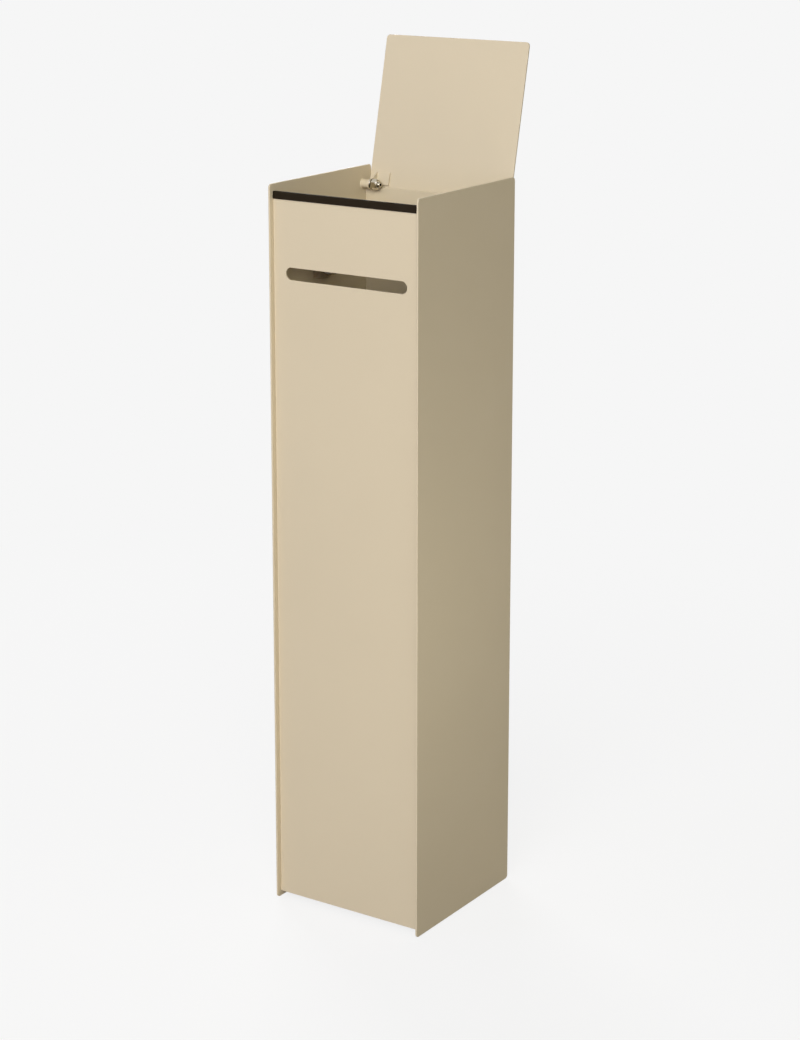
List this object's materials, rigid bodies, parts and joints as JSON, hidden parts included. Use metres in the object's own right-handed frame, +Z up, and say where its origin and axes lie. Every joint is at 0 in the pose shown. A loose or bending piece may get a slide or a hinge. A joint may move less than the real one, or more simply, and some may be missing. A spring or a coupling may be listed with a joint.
{
  "type": "toilet paper dispenser",
  "caption": "Free-standing square sheet-steel toilet paper dispenser with a swinging lid, a front paper slot, a lift-out roll spindle and room for spare rolls below.",
  "frame": {"origin": "on the floor, under the middle of the column's square outline", "axes": "+X to the right as seen from the front, +Y from the front panel to the back panel, +Z up along the column"},
  "size_m": [0.14, 0.1646, 0.7044],
  "materials": {
    "paint": "matt fine-texture powder coat, warm beige",
    "trim_rubber": "matt extruded rubber, very dark brown",
    "foot_rubber": "matt moulded rubber, dark grey",
    "zinc_steel": "bright zinc-plated steel",
    "bush_nylon": "natural nylon",
    "spindle_steel": "ground stainless steel"
  },
  "bodies": {
    "cabinet": {"left_side_panel": "paint", "right_side_panel": "paint", "front_panel": "paint", "back_panel": "paint", "base_plate": "paint", "front_left_foot": "foot_rubber", "front_right_foot": "foot_rubber", "back_left_foot": "foot_rubber", "back_right_foot": "foot_rubber", "front_edge_trim": "trim_rubber", "left_hinge_post": "paint", "right_hinge_post": "paint", "left_hinge_stud": "zinc_steel", "right_hinge_stud": "zinc_steel", "left_hinge_washer": "zinc_steel", "right_hinge_washer": "zinc_steel", "left_hinge_nut": "zinc_steel", "right_hinge_nut": "zinc_steel", "left_spindle_cradle": "paint", "right_spindle_cradle": "paint"},
    "lid": {"lid": "paint", "left_lid_bracket": "paint", "right_lid_bracket": "paint"},
    "spindle_bushes": {"left_spindle_bush": "bush_nylon", "right_spindle_bush": "bush_nylon"},
    "spindle": {"spindle_rod": "spindle_steel", "left_spindle_clip": "spindle_steel", "right_spindle_clip": "spindle_steel"}
  },
  "joints": [
    {"name": "lid_hinge", "type": "hinge", "parent": "cabinet", "child": "lid", "pos_m": [0, 0.0575, 0.5853], "axis": [1, 0, 0], "range_deg": [0, 102.4]},
    {"name": "spindle_lift", "type": "slide", "parent": "cabinet", "child": "spindle_bushes", "axis": [0, 0, 1], "range_m": [0, 0.045]},
    {"name": "spindle_turn", "type": "hinge", "parent": "spindle_bushes", "child": "spindle", "pos_m": [0, 0, 0.528], "axis": [1, 0, 0], "continuous": true}
  ]
}
